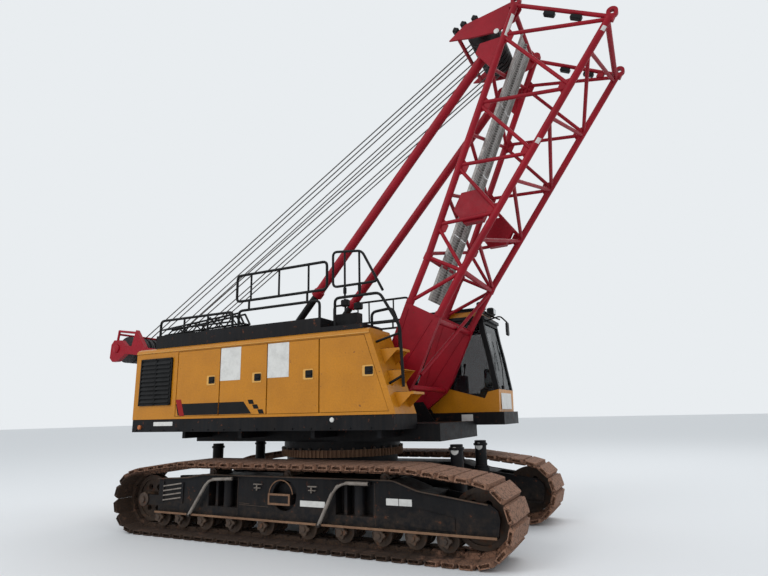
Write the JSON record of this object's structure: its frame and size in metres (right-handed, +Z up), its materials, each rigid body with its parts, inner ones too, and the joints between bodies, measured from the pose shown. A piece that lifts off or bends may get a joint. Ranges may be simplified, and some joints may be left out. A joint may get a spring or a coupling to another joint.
{
  "type": "crawler crane base machine with boom foot section",
  "caption": "Crawler crane as moved between sites: tracks drawn in, boom foot section raised, gantry folded back, no counterweight.",
  "frame": {"origin": "on the ground under the slewing axis, midway between the tracks", "axes": "+X forward along the tracks and the boom, +Y to the machine's left, +Z up"},
  "size_m": [9.441, 3.39, 7.6012],
  "materials": {
    "frame_black": "satin black chassis enamel, scuffed",
    "ring_iron": "greased iron with brown dust",
    "track_iron": "cast shoes with rust and dried mud",
    "roller_iron": "cast iron with rust",
    "body_yellow": "gloss yellow enamel",
    "machinery_grey": "grey enamel",
    "trim_black": "matt black",
    "cab_glass": "tinted glass",
    "boom_red": "red enamel",
    "sheave_black": "greased dark iron",
    "galvanised": "hot dip galvanised"
  },
  "bodies": {
    "carbody": {"carbody": "frame_black", "slewing_ring": "ring_iron", "jacks": "frame_black"},
    "track_right": {"side_frame_right": "frame_black", "track_right": "track_iron", "rollers_right": "roller_iron", "end_wheels_right": "roller_iron"},
    "track_left": {"side_frame_left": "frame_black", "track_left": "track_iron", "rollers_left": "roller_iron", "end_wheels_left": "roller_iron"},
    "upper": {"revolving_frame": "frame_black", "engine": "machinery_grey", "hood_right": "body_yellow", "hood_left": "body_yellow", "rear_hood": "body_yellow", "louvre_right": "trim_black", "walkway_right": "frame_black", "handrails_right": "frame_black", "handrails_left": "frame_black", "boarding_steps": "body_yellow", "cab_shell": "body_yellow", "cab_frame": "trim_black", "cab_roof": "body_yellow", "cab_glass": "cab_glass", "cab_seat": "trim_black"},
    "hood_door_1": {"hood_door_1": "body_yellow"},
    "hood_door_2": {"hood_door_2": "body_yellow"},
    "hood_door_3": {"hood_door_3": "body_yellow"},
    "hood_door_4": {"hood_door_4": "body_yellow"},
    "hood_door_left": {"hood_door_left": "body_yellow"},
    "drum_front": {"drum_front": "machinery_grey"},
    "drum_middle": {"drum_middle": "machinery_grey"},
    "drum_rear": {"drum_rear": "machinery_grey"},
    "cab_door": {"cab_door": "trim_black", "cab_door_glass": "cab_glass"},
    "gantry": {"gantry": "boom_red", "gantry_sheaves": "sheave_black"},
    "boom": {"boom_frame": "boom_red", "boom_foot": "boom_red", "boom_walkway": "galvanised", "boom_guides": "boom_red", "hoist_block": "boom_red", "hoist_sheaves": "sheave_black"},
    "backstop_tube_right": {"backstop_tube_right": "boom_red"},
    "backstop_tube_left": {"backstop_tube_left": "boom_red"},
    "backstop_rod_right": {"backstop_rod_right": "frame_black"},
    "backstop_rod_left": {"backstop_rod_left": "frame_black"}
  },
  "joints": [
    {"name": "track_extend_right", "type": "slide", "parent": "carbody", "child": "track_right", "axis": [0, -1, 0], "range_m": [0, 0.72]},
    {"name": "track_extend_left", "type": "slide", "parent": "carbody", "child": "track_left", "axis": [0, 1, 0], "range_m": [0, 0.72]},
    {"name": "slew", "type": "hinge", "parent": "carbody", "child": "upper", "pos_m": [0, 0, 1.15], "axis": [0, 0, 1], "continuous": true},
    {"name": "boom_luff", "type": "hinge", "parent": "upper", "child": "boom", "pos_m": [1.02, 0, 1.72], "axis": [0, -1, 0], "range_deg": [-31, 19]},
    {"name": "gantry_raise", "type": "hinge", "parent": "upper", "child": "gantry", "pos_m": [-0.1, 0, 2.3], "axis": [0, 1, 0], "range_deg": [0, 52]},
    {"name": "cab_door_swing", "type": "hinge", "parent": "upper", "child": "cab_door", "pos_m": [1.401, 1.675, 2.4], "axis": [0, 0, 1], "range_deg": [0, 100]},
    {"name": "hood_door_left_swing", "type": "hinge", "parent": "upper", "child": "hood_door_left", "pos_m": [-1.19, 1.485, 2.15], "axis": [0, 0, 1], "range_deg": [0, 90]},
    {"name": "hood_door_4_swing", "type": "hinge", "parent": "upper", "child": "hood_door_4", "pos_m": [0.548, -1.485, 2.15], "axis": [0, 0, -1], "range_deg": [0, 90]},
    {"name": "hood_door_1_swing", "type": "hinge", "parent": "upper", "child": "hood_door_1", "pos_m": [-2.059, -1.485, 2.15], "axis": [0, 0, -1], "range_deg": [0, 90]},
    {"name": "hood_door_2_swing", "type": "hinge", "parent": "upper", "child": "hood_door_2", "pos_m": [-1.19, -1.485, 2.15], "axis": [0, 0, -1], "range_deg": [0, 90]},
    {"name": "hood_door_3_swing", "type": "hinge", "parent": "upper", "child": "hood_door_3", "pos_m": [-0.321, -1.485, 2.15], "axis": [0, 0, -1], "range_deg": [0, 90]},
    {"name": "drum_front_turn", "type": "hinge", "parent": "upper", "child": "drum_front", "pos_m": [0.3, 0, 2], "axis": [0, 1, 0], "continuous": true},
    {"name": "drum_middle_turn", "type": "hinge", "parent": "upper", "child": "drum_middle", "pos_m": [-0.43, 0, 2], "axis": [0, 1, 0], "continuous": true},
    {"name": "drum_rear_turn", "type": "hinge", "parent": "upper", "child": "drum_rear", "pos_m": [-1.13, 0, 2], "axis": [0, 1, 0], "continuous": true},
    {"name": "backstop_pin_right", "type": "hinge", "parent": "boom", "child": "backstop_tube_right", "pos_m": [2.82657, -0.545, 6.83554], "axis": [0, -1, 0], "range_deg": [-3.2, 4.9]},
    {"name": "backstop_slide_right", "type": "slide", "parent": "backstop_tube_right", "child": "backstop_rod_right", "axis": [0.6655, 0, 0.7464], "range_m": [-1.09, 0.68]},
    {"name": "backstop_pin_left", "type": "hinge", "parent": "boom", "child": "backstop_tube_left", "pos_m": [2.82657, 0.545, 6.83554], "axis": [0, -1, 0], "range_deg": [-3.2, 4.9]},
    {"name": "backstop_slide_left", "type": "slide", "parent": "backstop_tube_left", "child": "backstop_rod_left", "axis": [0.6655, 0, 0.7464], "range_m": [-1.09, 0.68]}
  ],
  "couplings": [
    {"joint": "backstop_pin_right", "follows": "boom_luff", "ratio": -0.141},
    {"joint": "backstop_slide_right", "follows": "boom_luff", "m_per_rad": 1.965},
    {"joint": "backstop_pin_left", "follows": "boom_luff", "ratio": -0.141},
    {"joint": "backstop_slide_left", "follows": "boom_luff", "m_per_rad": 1.965}
  ]
}
